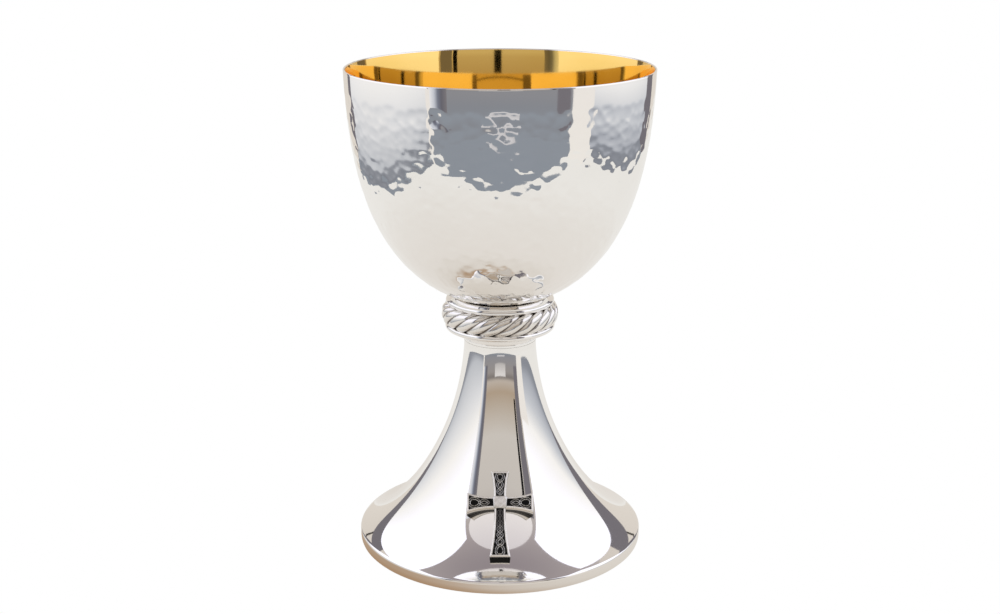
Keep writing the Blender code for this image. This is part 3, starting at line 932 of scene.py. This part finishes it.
def cross_matrix(along, depth):
    """Local axes of the cross: X across, Y up along it, Z out of its face."""
    lean = math.radians(CROSS_LEAN)
    across = Vector((1.0, 0.0, 0.0))
    upward = Vector((0.0, math.sin(lean), math.cos(lean)))
    outward = across.cross(upward)
    centre = Vector((0.0, -CROSS_CENTRE[0], CROSS_CENTRE[1]))
    place = (centre + along * upward - depth * outward) * MM
    return Matrix.Translation(place) @ Matrix((across, upward, outward)).transposed().to_4x4()


def smooth(value):
    value = np.clip(value, 0.0, 1.0)
    return value * value * (3 - 2 * value)


def knot_strands(crossings, swells, end):
    """Two strands that cross at each place along an arm and close in a round loop at its end.
    Each point is (reach along the arm, side, lift), and the lift carries one strand over the other."""
    strands = []
    for sign in (1, -1):
        line = []
        for index, (start, stop) in enumerate(zip(crossings, crossings[1:])):
            for step in range(30):
                t = step / 30
                way = sign * (-1) ** index
                side = way * swells[index] * math.sin(math.pi * t)
                line.append((start + (stop - start) * t, side, way * math.cos(math.pi * t)))
        start, half = crossings[-1], (end - crossings[-1]) / 2
        way = sign * (-1) ** (len(crossings) - 1)
        for step in range(61):
            t = step / 60
            turn = math.pi * t
            reach = start + half * (1 - math.cos(turn))
            side = way * swells[-1] * math.sin(turn) ** 0.8 * (0.62 + 0.38 * t) / 0.9
            line.append((reach, side, way * max(0.0, 1 - 4 * t)))
        strands.append(np.array(line))
    return strands


def arm_patch(index, across_steps):
    """A grid over one arm: rows along it and columns across it, as (x, y), its height and its stain."""
    direction, length, waist, end = ARMS[index]
    along = np.array(direction)
    side = np.array((-direction[1], direction[0]))
    before, after = ARMS[index - 1][2], ARMS[(index + 1) % len(ARMS)][2]
    rows = round((length - waist) / PATCH_ROW)
    share = np.linspace(0.0, 1.0, rows + 1)[:, None]
    t = np.linspace(-1.0, 1.0, across_steps + 1)[None]
    start = before + (after - before) * (t + 1) / 2
    reach = start + share * (length - start)
    half = waist + (end - waist) * share ** ARM_FLARE
    offset = t * half
    flat = reach[..., None] * along + offset[..., None] * side
    border = np.minimum(half * (1 - np.abs(t)), length - reach)
    height, tarnish_and_shade = face_height(index, reach, offset, border)
    return flat, height, tarnish_and_shade


def face_height(index, reach, offset, border):
    """The height of an arm's face and how tarnished it is: a bright border round a dark field,
    with two strands laid in the field. Each strand has a bright ridge along both its sides."""
    crossings, swells, end, crispness = KNOTS[index]
    inwards = np.clip(border / EDGE_ROUND, 0, 1)
    rim = -EDGE_ROUND * (1 - np.sqrt(np.clip(1 - (1 - inwards) ** 2, 0, 1)))
    drop = smooth((border - BORDER) / BORDER_SLOPE + 0.5)
    height = rim - CROSS_FIELD * drop
    raised = 1 - drop
    fade = np.interp(reach, (0.35 * end, 0.7 * end), crispness)
    for strand in knot_strands(crossings, swells, end):
        distance = np.full(reach.shape, 9.0)
        lift = np.zeros(reach.shape)
        for place in strand:
            away = np.hypot(reach - place[0], offset - place[1])
            nearer = away < distance
            distance = np.where(nearer, away, distance)
            lift = np.where(nearer, place[2], lift)
        body = np.sqrt(np.clip(1 - (distance / STRAND_HALF) ** 2, 0, 1))
        ridge = smooth(1.3 - np.abs(distance - STRAND_RIDGE) / RIDGE_SPREAD)
        crest = (STRAND_SWELL * body + RIDGE_HEIGHT * ridge) * (0.9 + 0.18 * lift)
        top = -CROSS_FIELD + fade * crest
        inside = border > BORDER - 0.1
        height = np.where(inside & (distance < STRAND_HALF), np.maximum(height, top), height)
        raised = np.maximum(raised, np.where(inside, fade * ridge, 0))
    tarnish_and_shade = 1 - np.clip(raised, 0, 1)
    return height, tarnish_and_shade


def add_boss(flat, height, tarnish_and_shade):
    """The raised middle: a hand-cut nugget, wider at its top edge than at its bottom one."""
    x, y = flat[..., 0], flat[..., 1]
    half_x = BOSS_HALF[0] * (1 + 0.05 * y / BOSS_HALF[1])
    far = (np.abs(x / half_x) ** 4 + np.abs(y / BOSS_HALF[1]) ** 4) ** 0.25
    crown = BOSS_HEIGHT * (1 - 0.12 * far ** 2) * smooth((1.0 - far) / 0.22) ** 0.5
    crown = crown - (1 - smooth((1.02 - far) / 0.06)) * 5
    dents = 0.02 * np.sin(1.9 * x + 1.3) * np.sin(2.1 * y + 0.5) + 0.008 * np.sin(3.9 * x - 3.1 * y)
    crown = crown + dents * smooth((1.0 - far) / 0.3)
    taller = crown > height
    spots = 0.12 + 0.1 * smooth(0.5 - dents / 0.04) + 0.5 * smooth((far - 0.86) / 0.12)
    return np.where(taller, crown, height), np.where(taller, spots, tarnish_and_shade)


FOOT_LINE = np.array(curve_points(NECK_CURVE, 200) + curve_points(FLARE_CURVE, 400)[1:]).T


def back_depths(points):
    """How deep the cross's casting runs at each point of its face, to end just off the foot."""
    lean = math.radians(CROSS_LEAN)
    radii, heights = FOOT_LINE
    depths = np.full(len(points), CROSS_THICKNESS)
    for _ in range(BACK_STEPS):
        forward = -CROSS_CENTRE[0] + points[:, 1] * math.sin(lean) + depths * math.cos(lean)
        height = CROSS_CENTRE[1] + points[:, 1] * math.cos(lean) - depths * math.sin(lean)
        surface = np.interp(-height, -heights, radii)
        clear = np.hypot(points[:, 0], forward) > surface + BACK_CLEARANCE
        depths += BACK_STEP * clear
    return depths


def middle_patch():
    """The grid between the four arms' waists, which the boss covers."""
    waists = [arm[2] for arm in ARMS]
    low_left, low_right = np.array((-waists[3], -waists[2])), np.array((waists[3], -waists[0]))
    top_left, top_right = np.array((-waists[1], waists[2])), np.array((waists[1], waists[0]))
    share = np.linspace(0.0, 1.0, PATCH_STEPS + 1)
    right, up = np.meshgrid(share, share, indexing="ij")
    right, up = right[..., None], up[..., None]
    lower_edge = (1 - right) * low_left + right * low_right
    upper_edge = (1 - right) * top_left + right * top_right
    flat = (1 - up) * lower_edge + up * upper_edge
    return flat, np.full(flat.shape[:2], -CROSS_FIELD), np.ones(flat.shape[:2])


def cross_face():
    """The front of the cross as one grid: points, tarnish, faces and the points round its edge."""
    patches = [arm_patch(index, PATCH_STEPS) for index in range(len(ARMS))] + [middle_patch()]
    points, darkness, faces, outline, first = [], [], [], [], 0
    for number, (flat, height, tarnish_and_shade) in enumerate(patches):
        height, tarnish_and_shade = add_boss(flat, height, tarnish_and_shade)
        index = first + np.arange(height.size).reshape(height.shape)
        first += height.size
        quads = np.stack((index[:-1, :-1], index[1:, :-1], index[1:, 1:], index[:-1, 1:]), axis=-1)
        points.append(np.concatenate((flat, height[..., None]), axis=-1).reshape(-1, 3))
        darkness.append(tarnish_and_shade.ravel())
        faces.append(quads.reshape(-1, 4))
        if number < len(ARMS):
            outline += list(index[:, 0]) + list(index[-1, 1:]) + list(index[-2:0:-1, -1])
    points = np.concatenate(points)
    darkness = np.concatenate(darkness)
    places = np.round(points[:, :2], 4)
    _, chosen, renamed = np.unique(places, axis=0, return_index=True, return_inverse=True)
    renamed = renamed.ravel()
    faces = renamed[np.concatenate(faces)]
    outline = list(dict.fromkeys(renamed[outline]))
    return points[chosen], darkness[chosen], faces, outline


def make_cross(finishes):
    """The cross as one casting: its face, its sides, light near the face and dark towards the back, and
    its back.
    """
    points, darkness, faces, outline = cross_face()
    back = points.copy()
    back[:, 2] = -back_depths(points)
    front_count = len(points)
    face_list = faces.tolist() + (faces[:, ::-1] + front_count).tolist()
    points = np.concatenate((points, back))
    darkness = np.concatenate((darkness, np.ones(front_count)))

    # The sides turn near black towards the back, over more of their depth at the bottom end.
    rim = back[outline]
    at_end = rim[:, 1] < -0.9 * ARMS[3][1]
    dark_from = rim[:, 2] * np.where(at_end, END_DARK_FROM, SIDE_DARK_FROM)
    previous = outline
    for share, darkening in ((0.0, 0.05), (0.12, 1.0)):
        lower = rim.copy()
        lower[:, 2] = rim[:, 2] * share + dark_from * (1 - share)
        level = list(range(len(points), len(points) + len(lower)))
        points = np.concatenate((points, lower))
        darkness = np.concatenate((darkness, np.full(len(lower), darkening)))
        face_list += band(previous, level)
        previous = level
    face_list += band(previous, [front_count + place for place in outline])

    mesh = bpy.data.meshes.new("knotwork_cross")
    mesh.from_pydata((points * MM).tolist(), [], face_list)
    attribute = mesh.attributes.new("tarnish_and_shade", "FLOAT", "POINT")
    attribute.data.foreach_set("value", darkness)
    mesh.transform(cross_matrix(0.0, 0.0))
    add_piece("knotwork_cross", mesh, "cross_body", "antiqued_silver", finishes, sharp=50.0)


def band(upper, lower):
    """The faces between two closed loops of as many points."""
    faces = []
    for place in range(len(upper)):
        after = (place + 1) % len(upper)
        faces.append((upper[place], lower[place], lower[after], upper[after]))
    return faces


def make_cross_fasteners(finishes):
    half = STUD_LENGTH / 2
    for name, along, depth in STUDS:
        stud = [(0.0, half), (STUD_RADIUS - 0.2, half), (STUD_RADIUS, half - 0.2)]
        stud += [(radius, -height) for radius, height in stud[::-1]]
        mesh = mesh_of_rings("pin_" + name, rings_of(stud, ROD_SEGMENTS), closed=False)
        weld_poles(mesh)
        mesh.transform(cross_matrix(along, CROSS_THICKNESS + GAP + half))
        add_piece("pin_" + name, mesh, "cross_stud_" + name, "fastener_steel", finishes)
        clip = rings_of(rounded(CLIP_OUTLINE, 0.15), CLIP_SEGMENTS)
        mesh = mesh_of_rings("clip_" + name, clip, closed=True)
        mesh.transform(cross_matrix(along, depth))
        add_piece("clip_" + name, mesh, "cross_clip_" + name, "fastener_steel", finishes)


def main():
    scene = bpy.context.scene
    scene.view_settings.view_transform = "Standard"
    scene.cycles.glossy_bounces = 14
    scene.cycles.max_bounces = 16
    make_camera()
    make_room()
    make_panels()
    make_lamp()
    finishes = make_finishes()
    make_bowl(finishes)
    make_inner_cup(finishes)
    make_boss(finishes)
    make_knop(finishes)
    make_rope(finishes)
    make_foot(finishes)
    make_rod(finishes)
    make_nut(finishes)
    finish_washers(finishes)
    make_cross(finishes)
    make_cross_fasteners(finishes)


main()
